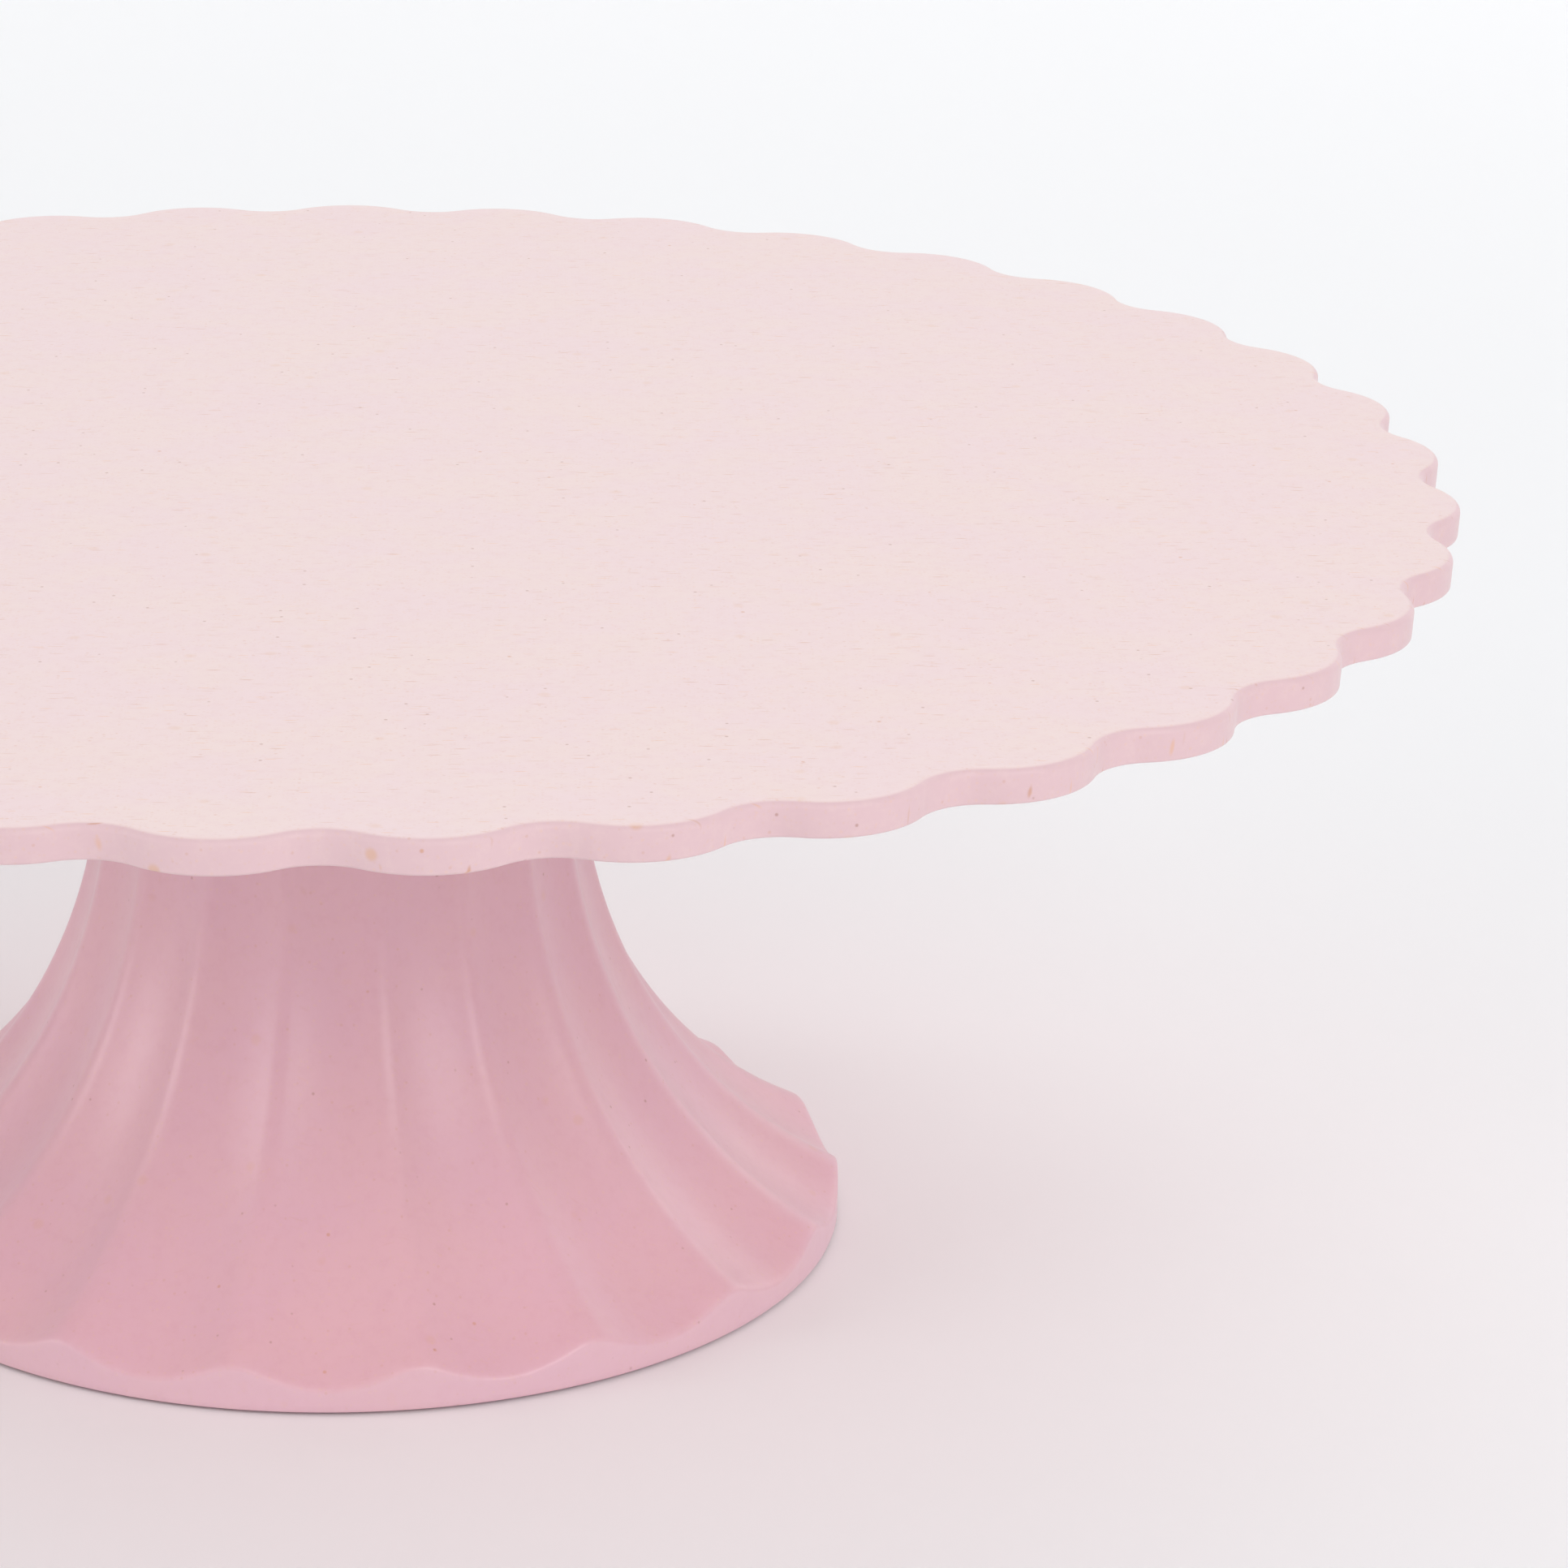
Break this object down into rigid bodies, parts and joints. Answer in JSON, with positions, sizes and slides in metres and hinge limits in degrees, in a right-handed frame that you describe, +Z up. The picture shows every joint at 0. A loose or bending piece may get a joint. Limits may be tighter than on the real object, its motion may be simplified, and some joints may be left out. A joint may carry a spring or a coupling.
{
  "type": "cake turntable",
  "caption": "Round cake turntable: a thin scalloped plate turning on a hidden ball bearing in the head of a flared, fluted hollow pedestal.",
  "frame": {"origin": "on the turning axis, in the plane that the anti-slip ring stands on", "axes": "+Z up along the turning axis; a flute of the pedestal faces -Y"},
  "size_m": [0.2997, 0.2997, 0.1078],
  "materials": {
    "plate_melamine": "matte, faint fibre streaks and tan specks",
    "pedestal_melamine": "satin, a few brown specks",
    "bearing_steel": "ground, lightly oiled",
    "ball_steel": "polished",
    "screw_steel": "zinc plated",
    "insert_brass": "turned",
    "cage_nylon": "natural nylon",
    "grip_rubber": "matte"
  },
  "bodies": {
    "stand": {"pedestal": "pedestal_melamine", "anti_slip_ring": "grip_rubber", "pivot_bush": "cage_nylon", "lower_race": "bearing_steel", "lower_race_screw_1": "screw_steel", "lower_race_screw_2": "screw_steel", "lower_race_screw_3": "screw_steel", "deck_insert_1": "insert_brass", "deck_insert_2": "insert_brass", "deck_insert_3": "insert_brass"},
    "ball_set": {"ball_cage": "cage_nylon", "ball_01": "ball_steel", "ball_02": "ball_steel", "ball_03": "ball_steel", "ball_04": "ball_steel", "ball_05": "ball_steel", "ball_06": "ball_steel", "ball_07": "ball_steel", "ball_08": "ball_steel", "ball_09": "ball_steel", "ball_10": "ball_steel", "ball_11": "ball_steel", "ball_12": "ball_steel"},
    "turning_plate": {"plate": "plate_melamine", "upper_race": "bearing_steel", "centre_insert": "insert_brass", "shoulder_bolt": "screw_steel", "flat_washer": "screw_steel", "wave_washer": "screw_steel", "upper_race_screw_1": "screw_steel", "upper_race_screw_2": "screw_steel", "upper_race_screw_3": "screw_steel", "plate_insert_1": "insert_brass", "plate_insert_2": "insert_brass", "plate_insert_3": "insert_brass"}
  },
  "joints": [
    {"name": "plate_spin", "type": "hinge", "parent": "stand", "child": "turning_plate", "pos_m": [0, 0, 0.0955], "axis": [0, 0, 1], "continuous": true},
    {"name": "cage_spin", "type": "hinge", "parent": "stand", "child": "ball_set", "pos_m": [0, 0, 0.0955], "axis": [0, 0, 1], "continuous": true}
  ],
  "couplings": [
    {"joint": "cage_spin", "follows": "plate_spin", "ratio": 0.5}
  ]
}
